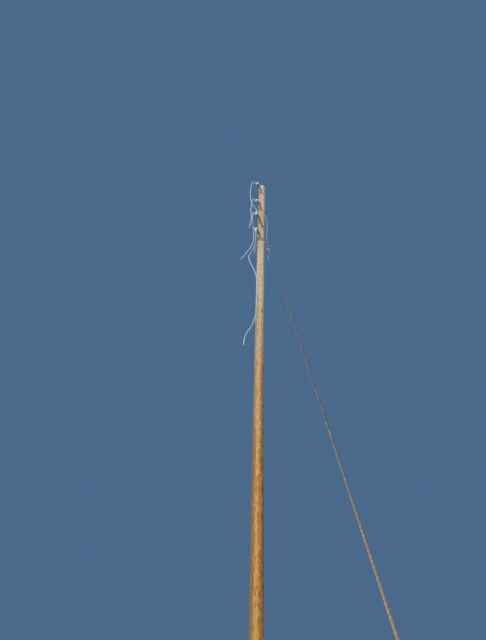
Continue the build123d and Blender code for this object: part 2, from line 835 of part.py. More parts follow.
export_node("pole_shaft", make_shaft())
export_node("pole_top_cap", make_cap())
for name in dead_ends:
    z, azimuth, heading, tail_side = end_place(name)
    export_node(f"strap_{name}", make_strap(z, azimuth))
    export_node(f"spool_{name}", make_spool(z, azimuth, heading))
    export_node(f"fixings_{name}", make_fixings(z, azimuth, heading))
    export_node(f"line_loop_{name}", make_loop(z, azimuth, heading, tail_side, name in stub_ends))
    export_node(f"line_clamp_{name}", make_line_clamp(z, azimuth, heading, tail_side, name in stub_ends))
export_node("tap_connectors", Compound(children=[make_tap_connector(name) for name in tap_facings]))
export_node("jumper_connector", make_jumper_connector())
export_node("bolt_lug", make_bolt_lug("B"))
export_node("service_connector", make_service_connector())
export_node("stay_band_left", make_band_half(-1))
export_node("stay_band_right", make_band_half(1))
export_node("stay_band_bolts", make_band_bolts())
export_node("stay_thimble", make_thimble())
export_node("stay_grip_top", make_grip(top_stay_plane, thimble_groove_radius))
export_node("stay_wire", make_stay_wire())
export_node("stay_grip_bottom", make_grip(bottom_stay_plane, rod_radius))
export_node("stay_rod", make_stay_rod())
for name in service_hooks:
    export_node(f"service_hook_{name}", make_service_hook(name))
    export_node(f"wedge_clamp_{name}", make_wedge_clamp(name))
for name, points in routes.items():
    print(name)
    export_node(name, make_cord(points))
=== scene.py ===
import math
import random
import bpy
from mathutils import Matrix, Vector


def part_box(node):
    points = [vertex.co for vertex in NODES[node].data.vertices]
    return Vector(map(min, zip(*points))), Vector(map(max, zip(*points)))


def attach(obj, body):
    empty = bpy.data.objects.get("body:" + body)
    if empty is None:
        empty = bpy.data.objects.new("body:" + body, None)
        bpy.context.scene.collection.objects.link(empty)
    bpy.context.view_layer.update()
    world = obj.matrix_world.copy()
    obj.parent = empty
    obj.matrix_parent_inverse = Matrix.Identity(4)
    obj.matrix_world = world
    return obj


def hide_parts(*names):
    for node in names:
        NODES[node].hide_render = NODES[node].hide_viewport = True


bl_info = {
    "name": "Wooden Utility Pole",
    "version": (1, 0, 0),
    "blender": (4, 5, 0),
    "location": "3D View > Sidebar > Utility Pole",
    "description": "Dresses the packed utility pole with weathered wood, stranded wires and fittings",
    "category": "Add Mesh",
}

import bpy
import numpy as np
from bpy.props import FloatProperty, FloatVectorProperty, IntProperty, PointerProperty
from mathutils import Matrix, Vector, noise

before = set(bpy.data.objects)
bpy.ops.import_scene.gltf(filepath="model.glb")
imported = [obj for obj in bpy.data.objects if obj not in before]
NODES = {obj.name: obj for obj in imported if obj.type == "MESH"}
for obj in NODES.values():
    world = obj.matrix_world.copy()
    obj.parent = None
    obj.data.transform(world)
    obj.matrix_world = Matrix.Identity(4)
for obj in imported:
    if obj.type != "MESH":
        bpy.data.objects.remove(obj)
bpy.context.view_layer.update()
SHAFT_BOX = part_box("pole_shaft")
END_NAMES = ("A", "B", "C", "D", "E")
LINE_HEADINGS = {"A": 25.0, "B": 25.0, "C": 25.0, "D": 25.0, "E": 165.0}
STRAP_AZIMUTHS = {"A": 35.0, "B": 35.0, "C": 35.0, "D": 35.0, "E": 138.0}
TAIL_SIDES = {"A": -1, "B": -1, "C": -1, "D": -1, "E": 1}
HOOKS = {"upper": (10.04, -112.0), "lower": (9.76, -100.0)}

# The stay's two eyes and the way that its band's bolt points
STAY_TOP = Vector((-0.0126633, -0.11433, 10.4463))
STAY_FOOT = Vector((0.043997, -7.87563, 0.356676))
STAY_BOLT = Vector((0.999973, 0.0073, 0.0))

# Control points of the cords, in metres
ROUTES = {
    "jumper_A": [
        (-0.1633, -0.2034, 11.88), (-0.1929, -0.2668, 11.88), (-0.236, -0.305, 11.84),
        (-0.278, -0.312, 11.745), (-0.302, -0.3, 11.59), (-0.312, -0.285, 11.4), (-0.302, -0.27, 11.225),
        (-0.276, -0.258, 11.08), (-0.223, -0.238, 10.975), (-0.17, -0.22, 10.92),
        (-0.1439, -0.2107, 10.8543), (-0.1439, -0.2107, 10.7843),
    ],
    "jumper_B": [
        (-0.1695, -0.2036, 11.22), (-0.1991, -0.267, 11.22), (-0.236, -0.304, 11.184),
        (-0.259, -0.312, 11.1), (-0.268, -0.308, 10.965), (-0.285, -0.304, 10.8), (-0.284, -0.302, 10.65),
        (-0.262, -0.3, 10.52), (-0.262, -0.3, 10.4), (-0.286, -0.296, 10.3), (-0.312, -0.288, 10.15),
    ],
    "jumper_C": [
        (-0.1748, -0.2052, 10.72), (-0.2044, -0.2686, 10.72), (-0.231, -0.308, 10.67),
        (-0.237, -0.301, 10.59), (-0.238, -0.3, 10.49), (-0.238, -0.3, 10.4), (-0.226, -0.24, 10.28),
        (-0.205, -0.15, 10.165), (-0.19, -0.126, 10.0), (-0.204, -0.14, 9.815), (-0.258, -0.168, 9.63),
        (-0.352, -0.19, 9.415), (-0.482, -0.2, 9.19),
    ],
    "jumper_D": [
        (-0.1491, -0.2124, 10.1157), (-0.1491, -0.2124, 10.0457), (-0.152, -0.206, 9.96),
        (-0.156, -0.172, 9.87), (-0.16, -0.1, 9.795), (-0.164, -0.01, 9.745), (-0.166, 0.08, 9.718),
        (-0.165, 0.158, 9.73), (-0.16, 0.199, 9.782), (-0.1566, 0.2035, 9.8557), (-0.1566, 0.2035, 9.9257),
    ],
    "jumper_E": [
        (-0.1879, 0.2034, 9.99), (-0.206, 0.271, 9.99), (-0.232, 0.318, 9.962), (-0.262, 0.336, 9.888),
        (-0.28, 0.3, 9.8), (-0.292, 0.225, 9.725), (-0.298, 0.13, 9.64), (-0.298, 0.04, 9.5),
        (-0.282, -0.02, 9.34), (-0.228, -0.06, 9.16), (-0.158, -0.074, 8.99), (-0.112, -0.083, 8.8),
        (-0.102, -0.09, 8.48), (-0.105, -0.096, 8.08), (-0.11, -0.1, 7.77), (-0.138, -0.108, 7.58),
        (-0.2, -0.112, 7.395), (-0.29, -0.128, 7.225), (-0.342, -0.132, 7.1), (-0.352, -0.132, 6.915),
    ],
    "tap_cable": [
        (0.0536, 0.087, 11.17), (0.0536, 0.087, 11.1), (0.086, 0.094, 11.035), (0.117, 0.097, 10.925),
        (0.133, 0.095, 10.8), (0.14, 0.092, 10.65), (0.137, 0.092, 10.5), (0.129, 0.097, 10.38),
        (0.126, 0.104, 10.285), (0.126, 0.108, 10.198), (0.126, 0.108, 10.122),
    ],
}


def colour(text, default):
    return FloatVectorProperty(description=text, subtype="COLOR", min=0, max=1, default=default)


def length(text, default):
    return FloatProperty(description=text, unit="LENGTH", min=0, default=default)


def in_degrees(text, default):
    return FloatProperty(description=text, subtype="ANGLE", default=math.radians(default))


def whole_number(text, least, default):
    return IntProperty(description=text, min=least, default=default)


# Every azimuth goes from -Y towards -X


class PoleWood(bpy.types.PropertyGroup):
    ground_radius: length("Radius of the shaft at ground level", 0.12)
    top_radius: length("Radius of the shaft at its top", 0.073)
    bow: length("Sideways bow of the shaft at half height", 0.03)
    top_round: length("Rounding of the shaft's top edge", 0.018)
    columns: whole_number("Faces round the shaft", 24, 96)
    rows: whole_number("Faces up the shaft", 50, 860)
    checks: whole_number("Number of drying cracks", 0, 46)
    check_depth: length("Depth of the deepest drying crack", 0.016)
    check_width: length("Width of the widest drying crack", 0.005)
    knot_height: length("How far a knot stands out", 0.0035)
    seed: whole_number("Seed of the knots and checks", 0, 11)
    golden: colour("Clear wood of the lower pole", (0.51, 0.240, 0.036))
    tan: colour("Darker wood of the lower pole", (0.20, 0.084, 0.014))
    straw: colour("Bleached wood of the upper pole", (0.86, 0.67, 0.30))
    dull_straw: colour("Darker wood of the upper pole", (0.44, 0.30, 0.105))
    # Painted highlight: the pale streak down the front of the lower pole
    band: colour("Pale streak down the front", (0.92, 0.43, 0.018))
    # Painted shade: the greyer, flatter tone on the lower pole's +X side
    shaded: colour("Greyer wood of the lower pole's +X side", (0.300, 0.214, 0.096))
    # Painted light: a paler tone on the upper pole's +X side
    bleached: colour("Pale wood of the upper pole's +X side", (1.0, 0.84, 0.44))
    # Painted shade: the dark olive edge of the lower pole's -X side
    limb: colour("Olive wood of the lower pole's -X side", (0.112, 0.072, 0.024))
    # Side of the painted highlight streak
    band_azimuth: in_degrees("Side of the bleached band", 7)
    # Middle of the side with painted shade
    shaded_azimuth: in_degrees("Middle of the weathered side", -82)
    # Middle of the edge with painted shade
    limb_azimuth: in_degrees("Middle of the olive side", 92)
    # A peach-coloured patch on the wood between two brackets
    peach: colour("Scraped patch between two brackets", (0.56, 0.27, 0.15))
    # Dark knot wood, also laid in the drying cracks as painted shade
    knot: colour("Dark wood of knots and cracks", (0.085, 0.042, 0.02))


class PoleMetals(bpy.types.PropertyGroup):
    cap: colour("Weathered sheet of the cap", (0.78, 0.74, 0.76))
    cap_bloom: colour("Reddish bloom on the cap's lower part", (0.52, 0.36, 0.33))
    cap_radius: length("Outer radius of the pressed cap", 0.0753)
    cap_round: length("Rounding of the cap's top edge", 0.015)
    cap_sheet: length("Thickness of the cap's sheet", 0.0006)
    cap_lip: length("Height of the cap's turned lip", 0.008)
    nails: whole_number("Nails round the cap's foot", 3, 7)
    nail_radius: length("Radius of a nail's head", 0.0045)
    edge_round: length("Rounding of the fittings' sharp edges", 0.0007)
    zinc: colour("Dulled galvanised steel", (0.28, 0.285, 0.29))
    zinc_dark: colour("Dirt and rust on galvanised steel", (0.17, 0.145, 0.12))
    alloy: colour("Cast clamp alloy", (0.32, 0.32, 0.325))
    alloy_dark: colour("Dirt on the cast alloy", (0.14, 0.135, 0.135))
    alloy_worn: colour("Rubbed edges of the cast alloy", (0.62, 0.62, 0.63))
    rust: colour("Rust along the edges of the zinc", (0.20, 0.085, 0.035))
    thread_pitch: length("Pitch of the bolts' threads", 0.002)
    thread_height: length("How far a thread stands out", 0.0007)


class PoleWires(bpy.types.PropertyGroup):
    wire_radius: length("Radius of the jumpers and tails", 0.007)
    outer_strands: whole_number("Strands round a jumper", 3, 12)
    wire_lay: length("One turn of a jumper's strands", 0.17)
    ring_gap: length("Distance between a bar's rings", 0.010)
    # Weathered aluminium grey, tinted blue as a painted reflection of the sky, as is the dirt below
    pale: colour("Weathered aluminium strands", (0.40, 0.70, 1.0))
    dull: colour("Dirt between the strands", (0.29, 0.48, 0.84))
    # Painted light: paler strands for the tap cable, which lies in the pole's shadow
    fresh: colour("Brighter strands of the tap cable", (0.95, 1.0, 0.96))
    tap_painted_light_dull: colour("Dirt between the tap cable's strands", (0.72, 0.80, 0.82))
    stay_radius: length("Radius of the stay wire", 0.0054)
    stay_lay: length("One turn of the stay's strands", 0.13)
    grip_radius: length("Radius of a stay grip's wound part", 0.011)
    grip_bar: length("Radius of a stay grip's loop", 0.005)
    grip_lay: length("One turn of a grip's rods", 0.105)
    steel: colour("Dulled stay steel", (0.105, 0.105, 0.11))
    steel_worn: colour("Brighter places of the stay steel", (0.22, 0.22, 0.225))
    dust: colour("Dry dust on the stay's lower part", (0.27, 0.205, 0.12))


class PoleInsulators(bpy.types.PropertyGroup):
    glaze: colour("Brown glaze of the spools", (0.035, 0.013, 0.007))
    glaze_thin: colour("Glaze where it is thin and dusty", (0.070, 0.030, 0.017))
    housing: colour("Weatherproof black housing", (0.018, 0.018, 0.02))
    housing_grey: colour("Bleached places of the housing", (0.06, 0.06, 0.062))


class PoleStage(bpy.types.PropertyGroup):
    eye: FloatVectorProperty(
        description="Place of the camera", subtype="TRANSLATION", unit="LENGTH", default=(-0.38, -8.3, 1.6)
    )
    pitch: in_degrees("How far the camera looks up", 36)
    roll: in_degrees("Roll of the camera", 2.08)
    lens: FloatProperty(description="Focal length", subtype="DISTANCE_CAMERA", default=27.17)
    floor_radius: length("Radius of the pale floor", 90.0)
    floor: colour("Plain pale floor", (0.80, 0.80, 0.79))
    backdrop: colour("Plain surroundings", (0.075, 0.135, 0.265))
    sun_energy: FloatProperty(description="Strength of the key light", default=5.6)
    sun_colour: colour("Colour of the key light", (1.0, 0.93, 0.82))
    sun_softness: in_degrees("Apparent size of the key light", 9)
    sun_azimuth: in_degrees("Side that the key light comes from", 40)
    sun_elevation: in_degrees("Height of the key light", 45)


# Selecting, placing and dressing pieces


def object_mode():
    if bpy.context.mode != "OBJECT":
        bpy.ops.object.mode_set(mode="OBJECT")


def deselect_all():
    object_mode()
    bpy.ops.object.select_all(action="DESELECT")


def select_only(obj):
    deselect_all()
    obj.select_set(True)
    bpy.context.view_layer.objects.active = obj


def new_piece(name):
    """The object that an operator has just added, under its own name."""
    obj = bpy.context.view_layer.objects.active
    obj.name = name
    obj.data.name = name
    return obj


def placed(name, data):
    obj = bpy.data.objects.new(name, data)
    bpy.context.scene.collection.objects.link(obj)
    return obj


def apply_place():
    bpy.ops.object.transform_apply(location=True, rotation=True, scale=True)


def settle(obj, angle):
    """Applies a finished piece's place and smooths it."""
    select_only(obj)
    apply_place()
    bpy.ops.object.shade_smooth_by_angle(angle=math.radians(angle))
    deselect_all()


def cylinder(name, corners, radius, tall, middle=0.0, turn=0.0):
    """An upright cylinder on the Z axis."""
    deselect_all()
    bpy.ops.mesh.primitive_cylinder_add(
        vertices=corners, radius=radius, depth=tall, location=(0, 0, middle), rotation=(0, 0, turn)
    )
    obj = new_piece(name)
    apply_place()
    return obj


def modified(obj, kind, **settings):
    """Adds a modifier and applies it."""
    modifier = obj.modifiers.new(kind, kind)
    for name, value in settings.items():
        setattr(modifier, name, value)
    select_only(obj)
    bpy.ops.object.modifier_apply(modifier=kind)


def dress(obj, material):
    """Gives all of an object's slots one material."""
    if not obj.material_slots:
        obj.data.materials.append(material)
    for slot in obj.material_slots:
        slot.material = material


def joined(pieces):
    """Several pieces made one, which keeps the first piece's name."""
    select_only(pieces[0])
    for piece in pieces:
        piece.select_set(True)
    bpy.ops.object.join()
    return pieces[0]


def scattered(model, places):
    """Copies of a model at several places, joined."""
    copies = []
    for place in places:
        copy = placed(model.name, model.data.copy())
        copy.matrix_world = place
        copies.append(copy)
    bpy.data.objects.remove(model)
    return joined(copies)


def facing(place, way):
    """The placing that turns a model's Z axis along a direction."""
    return Matrix.Translation(place) @ way.to_track_quat("Z", "Y").to_matrix().to_4x4()


def choose(obj, kind, test):
    """Selects the faces, or the edges by their ends, that pass a test, and stays in edit mode."""
    select_only(obj)
    bpy.ops.object.mode_set(mode="EDIT")
    bpy.ops.mesh.select_mode(type=kind)
    bpy.ops.mesh.select_all(action="DESELECT")
    object_mode()
    if kind == "FACE":
        for face in obj.data.polygons:
            face.select = test(face)
    else:
        for edge in obj.data.edges:
            edge.select = test([obj.data.vertices[i].co for i in edge.vertices])
    bpy.ops.object.mode_set(mode="EDIT")


def merge_corners(obj):
    """Merges corners that meet, and stays in edit mode with all of the mesh selected."""
    select_only(obj)
    bpy.ops.object.mode_set(mode="EDIT")
    bpy.ops.mesh.select_mode(type="VERT")
    bpy.ops.mesh.select_all(action="SELECT")
    bpy.ops.mesh.remove_doubles(threshold=1e-6)


def rounded(name, width, surface, slot):
    """A merged copy of a CAD node with its sharp edges rounded and marked for wear."""
    flat_angle, sharp_angle, smooth_angle = 1.5, 32, 50
    obj = placed("rounded_" + name, NODES[name].data.copy())
    # The second slot is there only while it tells the rounded edges from the rest
    obj.data.materials.clear()
    for _ in range(2):
        obj.data.materials.append(surface)
    merge_corners(obj)
    bpy.ops.mesh.dissolve_limited(angle_limit=math.radians(flat_angle))
    object_mode()
    for face in obj.data.polygons:
        face.material_index = 0
    modified(
        obj, "BEVEL", width=width, segments=2, limit_method="ANGLE",
        angle_limit=math.radians(sharp_angle), use_clamp_overlap=False, material=1,
    )
    worn = [float(face.material_index) for face in obj.data.polygons]
    obj.data.attributes.new("worn", "FLOAT", "FACE").data.foreach_set("value", worn)
    for face in obj.data.polygons:
        face.material_index = 0
    obj.data.materials.pop()
    settle(obj, smooth_angle)
    modified(obj, "WEIGHTED_NORMAL", keep_sharp=True)
    deselect_all()
    stand_in(obj, surface, slot, name)


def stand_in(obj, material, slot, *nodes):
    """Lets a new piece stand for CAD nodes."""
    dress(obj, material)
    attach(obj, "root")
    if nodes:
        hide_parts(*nodes)


def outward(degrees):
    """Unit vector away from the pole, at an azimuth."""
    turn = math.radians(degrees)
    return Vector((-math.sin(turn), -math.cos(turn), 0))


def box_middle(name):
    low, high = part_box(name)
    return Vector([(a + b) / 2 for a, b in zip(low, high)])


def reach_along(name, start, way):
    """How far a CAD node goes from a point along a direction."""
    return max((v.co - start).dot(way) for v in NODES[name].data.vertices)


# Materials


class Surface:
    """A procedural material under construction, on Object coordinates."""

    def __init__(self, name, **inputs):
        self.material = bpy.data.materials.new(name)
        self.material.use_nodes = True
        self.tree = self.material.node_tree
        self.tree.nodes.clear()
        self.shader = self.node("BsdfPrincipled", **inputs)
        self.node("OutputMaterial", Surface=self.shader.outputs["BSDF"])
        self.place = self.node("TexCoord").outputs["Object"]
        self.body = None

    def feed(self, socket, value):
        """Gives an input another node's output, or else a value of its own."""
        if isinstance(value, bpy.types.NodeSocket):
            self.tree.links.new(value, socket)
        else:
            socket.default_value = value

    def node(self, kind, **inputs):
        """A new node with some of its inputs fed, an underscore for each space in their names."""
        node = self.tree.nodes.new("ShaderNode" + kind)
        for name, value in inputs.items():
            self.feed(node.inputs[name.replace("_", " ")], value)
        return node

    def texture(self, kind, scale, **inputs):
        """A texture on the coordinates, which are scaled on each axis."""
        mapping = self.node("Mapping", Vector=self.place, Scale=scale)
        return self.node(kind, Vector=mapping.outputs["Vector"], Scale=1.0, **inputs)

    def noise(self, scale, detail=4.0, roughness=0.55, distortion=0.0):
        node = self.texture("TexNoise", scale, Detail=detail, Roughness=roughness, Distortion=distortion)
        return node.outputs["Fac"]

    def attribute(self, name):
        node = self.node("Attribute")
        node.attribute_name = name
        return node.outputs["Fac"]

    def height(self):
        return self.node("SeparateXYZ", Vector=self.place).outputs["Z"]

    def spread(self, value, low, high, out_low=0.0, out_high=1.0):
        """A value mapped smoothly from one range to another."""
        limits = {"From_Min": low, "From_Max": high, "To_Min": out_low, "To_Max": out_high}
        node = self.node("MapRange", Value=value, **limits)
        node.interpolation_type = "SMOOTHSTEP"
        return node.outputs["Result"]

    def window(self, value, rise, full, fall, end):
        """1 between two numbers of a value, fading to 0 on both sides."""
        return self.times(self.spread(value, rise, full), self.spread(value, fall, end, 1.0, 0.0))

    def maths(self, operation, a, b):
        node = self.node("Math")
        node.operation = operation
        self.feed(node.inputs[0], a)
        self.feed(node.inputs[1], b)
        return node.outputs["Value"]

    def times(self, a, b):
        return self.maths("MULTIPLY", a, b)

    def plus(self, a, b):
        return self.maths("ADD", a, b)

    def mix(self, share, *colours):
        """Two colours mixed by a share of the second. A colour is a socket or three numbers."""
        node = self.node("Mix")
        node.data_type = "RGBA"
        sockets = {s.identifier: s for s in node.inputs}
        self.feed(sockets["Factor_Float"], share)
        for colour, name in zip(colours, ("A_Color", "B_Color")):
            own = not isinstance(colour, bpy.types.NodeSocket)
            self.feed(sockets[name], (*colour, 1.0) if own else colour)
        return next(s for s in node.outputs if s.identifier == "Result_Color")

    def cover(self, colour, share=None):
        """Lays a colour over the surface, all over or by a share from 0 to 1."""
        self.body = colour if share is None else self.mix(share, self.body, colour)

    def stain(self, colour, value, low, high, most=1.0):
        """Lays a colour over the surface where a value goes from low to high."""
        self.cover(colour, self.spread(value, low, high, 0.0, most))

    def finished(self, rough, *bumps):
        """The material, with a roughness for spread or None, and bumps of value, strength and distance."""
        self.feed(self.shader.inputs["Base Color"], self.body)
        if rough:
            self.feed(self.shader.inputs["Roughness"], self.spread(*rough))
        under = None
        for value, strength, distance in bumps:
            node = self.node("Bump", Height=value, Strength=strength, Distance=distance)
            if under:
                self.feed(node.inputs["Normal"], under)
            under = node.outputs["Normal"]
        self.feed(self.shader.inputs["Normal"], under)
        return self.material


def wood_surface(wood):
    """Treated softwood: golden and streaked below, bleached straw towards the top, with painted highlight,
    light and shade on its sides.
    """
    s = Surface("treated_softwood", Specular_IOR_Level=0.25)
    grain = s.noise((34, 34, 0.9), 7.0, 0.62, 0.35)
    fibre = s.noise((210, 210, 4.5), 3.0, 0.6)
    patches = s.noise((20, 20, 6.5), 4.0, 0.62, 0.6)
    flecks = s.noise((42, 42, 16), 3.0, 0.65)
    rough = s.noise((55, 55, 9), 4.0, 0.7)
    mottle = s.noise((30, 30, 10), 3.0, 0.6)
    drift = s.noise((3, 3, 0.7), 2.0)
    ragged = s.times(s.maths("SUBTRACT", rough, 0.5), 0.75)
    brown, earth, grey_olive = (0.25, 0.105, 0.020), (0.13, 0.10, 0.065), (0.095, 0.078, 0.044)
    dark_fleck, pale_fibre = (0.12, 0.055, 0.018), (0.88, 0.60, 0.23)

    # Height, shifted a little from place to place, and how far up the wood is bleached
    level = s.plus(s.height(), s.times(drift, 2.6))
    upper = s.spread(level, 5.6, 10.0)
    below = s.spread(level, 7.4, 9.6, 1.0, 0.0)

    pale_grain = s.spread(grain, 0.34, 0.62)
    low = s.mix(pale_grain, wood.tan, wood.golden)
    high = s.mix(pale_grain, wood.dull_straw, wood.straw)
    s.cover(s.mix(upper, low, high))
    s.stain(brown, patches, 0.47, 0.62, 0.62)

    # The painted highlight: a pale band down the front, fainter about a quarter of the way up
    band = s.spread(s.plus(s.attribute("band"), ragged), 0.91, 1.05, 0.0, 0.85)
    faint = s.window(s.height(), 2.95, 3.30, 3.80, 4.20)
    band = s.times(band, s.maths("SUBTRACT", 1.0, s.times(faint, 0.45)))
    s.cover(wood.band, s.times(band, s.plus(s.times(below, 0.75), 0.25)))

    # Painted shade on the lower pole's +X side, painted light on the upper pole's +X side, painted shade
    # along the lower pole's -X edge, and a peach-coloured patch
    shaded = s.spread(s.plus(s.attribute("shaded"), ragged), 0.38, 0.78, 0.0, 0.72)
    s.cover(wood.shaded, s.times(shaded, below))
    # Painted light on the upper pole's +X side
    bleached = s.spread(s.attribute("shaded"), -0.15, 0.75, 0.0, 0.75)
    s.cover(wood.bleached, s.times(bleached, s.spread(level, 8.2, 10.6)))
    # Painted shade along the lower pole's -X edge, olive low down and greyer higher up
    olive = s.mix(s.spread(level, 4.6, 7.0), wood.limb, grey_olive)
    limb = s.spread(s.plus(s.attribute("limb"), ragged), 0.24, 0.82, 0.0, 0.88)
    s.cover(olive, s.times(limb, s.spread(level, 8.4, 10.4, 1.0, 0.0)))
    # A peach-coloured patch between two brackets
    peach_patch = s.window(s.height(), 10.50, 10.66, 10.92, 11.06)
    s.cover(wood.peach, s.times(peach_patch, s.spread(rough, 0.38, 0.60, 0.15, 0.8)))

    # Specks, flecks and fibres, some with one tone on golden and another on bleached wood
    speckle = s.mix(upper, (0.13, 0.068, 0.024), (0.42, 0.31, 0.17))
    s.stain(speckle, mottle, 0.46, 0.58, 0.6)
    s.stain(dark_fleck, flecks, 0.54, 0.68, 0.75)
    dark_fibre = s.mix(upper, (0.14, 0.062, 0.016), (0.40, 0.29, 0.15))
    s.cover(dark_fibre, s.spread(fibre, 0.30, 0.47, 0.5, 0.0))
    s.stain(pale_fibre, fibre, 0.52, 0.72, 0.30)

    s.cover(earth, s.spread(s.height(), 0.05, 0.9, 0.45, 0.0))
    s.stain(wood.knot, s.attribute("knot"), 0.25, 0.8, 0.85)
    # Painted shade inside the drying cracks
    s.stain(wood.knot, s.attribute("check"), 0.3, 0.95, 0.9)
    bumps = (flecks, 0.6, 0.006), (grain, 0.55, 0.004), (fibre, 0.45, 0.0012)
    return s.finished((grain, 0.3, 0.7, 0.90, 0.66), *bumps)


def sheet_surface(metals):
    """Weathered pale sheet, dulled in blotches and streaks."""
    dulled, stained = (0.50, 0.44, 0.38), (0.33, 0.29, 0.25)
    s = Surface("weathered_sheet", Metallic=0.25)
    blotch = s.noise((16, 16, 9), 5.0, 0.6)
    streak = s.noise((70, 70, 6), 3.0)
    s.cover(metals.cap)
    s.stain(dulled, blotch, 0.42, 0.68)
    s.stain(stained, streak, 0.55, 0.75, 0.4)
    level = s.plus(s.height(), s.times(blotch, 0.12))
    s.cover(metals.cap_bloom, s.spread(level, 11.93, 12.03, 0.8, 0.0))
    return s.finished((blotch, 0.3, 0.7, 0.42, 0.68), (blotch, 0.5, 0.004), (streak, 0.25, 0.0010))


def zinc_surface(metals):
    """Dulled hot-dip zinc with spangle, dirt and a little rust."""
    bright = (0.46, 0.47, 0.48)
    s = Surface("dulled_zinc", Metallic=0.75)
    spangle = s.texture("TexVoronoi", (170, 170, 170)).outputs["Color"]
    dirt = s.noise((38, 38, 30), 5.0, 0.65)
    fine = s.noise((420, 420, 420), 2.0)
    rust = s.noise((120, 120, 120), 3.0, 0.65)
    s.cover(metals.zinc)
    s.stain(bright, spangle, 0.1, 0.9, 0.5)
    s.stain(metals.zinc_dark, dirt, 0.50, 0.74, 0.85)
    s.cover(metals.rust, s.times(s.attribute("worn"), s.spread(rust, 0.42, 0.60, 0.0, 0.8)))
    return s.finished((dirt, 0.35, 0.7, 0.52, 0.80), (dirt, 0.25, 0.0012), (fine, 0.15, 0.0003))


def alloy_surface(metals):
    """Cast clamp alloy: dull and sandy, rubbed bright along its edges."""
    glint = (0.80, 0.80, 0.80)
    s = Surface("cast_alloy", Metallic=0.55)
    sand = s.noise((520, 520, 520), 3.0, 0.6)
    dirt = s.noise((55, 55, 45), 5.0, 0.62)
    s.cover(metals.alloy)
    s.stain(metals.alloy_dark, dirt, 0.46, 0.72, 0.9)
    s.stain(glint, sand, 0.55, 0.75, 0.25)
    s.cover(metals.alloy_worn, s.times(s.attribute("worn"), s.spread(dirt, 0.40, 0.62, 0.8, 0.1)))
    return s.finished((dirt, 0.35, 0.7, 0.42, 0.66), (sand, 0.35, 0.0005), (dirt, 0.2, 0.001))


def wire_surface(name, clean, dull):
    """Aluminium strands with dirt between them and fine bright scratches. The blue in their colours is a
    painted reflection of the sky.
    """
    # Bright scratches, tinted blue as a painted reflection of the sky
    bright = (0.70, 0.85, 1.0)
    s = Surface(name, Metallic=0.1)
    dirt = s.noise((30, 30, 12), 4.0, 0.6)
    scratch = s.noise((380, 380, 60), 2.0)
    s.cover(clean)
    s.stain(dull, dirt, 0.48, 0.74, 0.8)
    s.stain(bright, scratch, 0.58, 0.76, 0.3)
    return s.finished((dirt, 0.35, 0.7, 0.36, 0.6), (scratch, 0.2, 0.0003), (dirt, 0.15, 0.0006))


def steel_surface(wires):
    """Dulled strand and rods of the stay, rusty in specks and dusty near the ground."""
    rust = (0.13, 0.085, 0.055)
    s = Surface("dulled_stay_steel", Metallic=0.55)
    dirt = s.noise((24, 24, 7), 5.0, 0.62)
    fine = s.noise((420, 420, 120), 2.0)
    s.cover(wires.steel)
    s.stain(wires.steel_worn, dirt, 0.45, 0.72)
    s.stain(rust, fine, 0.58, 0.75, 0.35)
    s.cover(wires.dust, s.spread(s.height(), 1.5, 2.6, 0.75, 0.0))
    return s.finished((dirt, 0.35, 0.7, 0.62, 0.42), (fine, 0.2, 0.0003), (dirt, 0.15, 0.0006))


def glaze_surface(insulators):
    """Brown glazed porcelain, thin and dusty in places."""
    dust = (0.20, 0.12, 0.08)
    s = Surface("brown_glaze", Coat_Weight=0.7, Coat_Roughness=0.06, Specular_IOR_Level=0.55)
    cloud = s.noise((60, 60, 40), 4.0, 0.6)
    speck = s.noise((650, 650, 650), 2.0, 0.7)
    s.cover(insulators.glaze)
    s.stain(insulators.glaze_thin, cloud, 0.45, 0.70)
    s.stain(dust, speck, 0.62, 0.78, 0.3)
    return s.finished((cloud, 0.35, 0.72, 0.10, 0.32), (cloud, 0.10, 0.0008), (speck, 0.08, 0.0002))


def housing_surface(insulators):
    """Moulded black housing, bleached and finely textured."""
    s = Surface("black_housing", Specular_IOR_Level=0.4)
    bleach = s.noise((34, 34, 26), 4.0, 0.6)
    grit = s.noise((900, 900, 900), 2.0, 0.6)
    s.cover(insulators.housing)
    s.stain(insulators.housing_grey, bleach, 0.42, 0.7)
    return s.finished((bleach, 0.35, 0.7, 0.42, 0.64), (grit, 0.3, 0.0003), (bleach, 0.1, 0.0008))


def floor_surface(base):
    """Plain floor with a faint mottling."""
    s = Surface("pale_floor", Roughness=0.9)
    cloud = s.noise((0.3, 0.3, 0.3), 3.0)
    s.cover(base)
    s.stain([part * 0.97 for part in base], cloud, 0.3, 0.7)
    return s.finished(None, (cloud, 0.02, 0.001))


# The wooden shaft


def axis_x(wood, z):
    """The bowed shaft's middle at a height."""
    share = z / SHAFT_BOX[1][2]
    return -4.0 * wood.bow * share * (1.0 - share)


def scatter_knots(rng, tall):
    """Whorls of knots: height, azimuth and radius of each."""
    knots = []
    z = 0.25
    while z < tall - 0.3:
        for _ in range(rng.randint(2, 5)):
            level, at = z + rng.uniform(-0.07, 0.07), rng.uniform(0, math.tau)
            knots.append((level, at, rng.uniform(0.009, 0.021)))
        z += rng.uniform(0.30, 0.62)
    return knots


def scatter_checks(wood, rng, tall):
    """Drying cracks: foot, length, column and depth of each."""
    checks = []
    for _ in range(wood.checks):
        span = rng.uniform(0.25, 1.0) ** 2 * 3.2 + 0.25
        foot = rng.uniform(0.02, tall - 0.3 - span)
        checks.append((foot, span, rng.randrange(wood.columns), rng.uniform(0.45, 1.0)))
    return checks


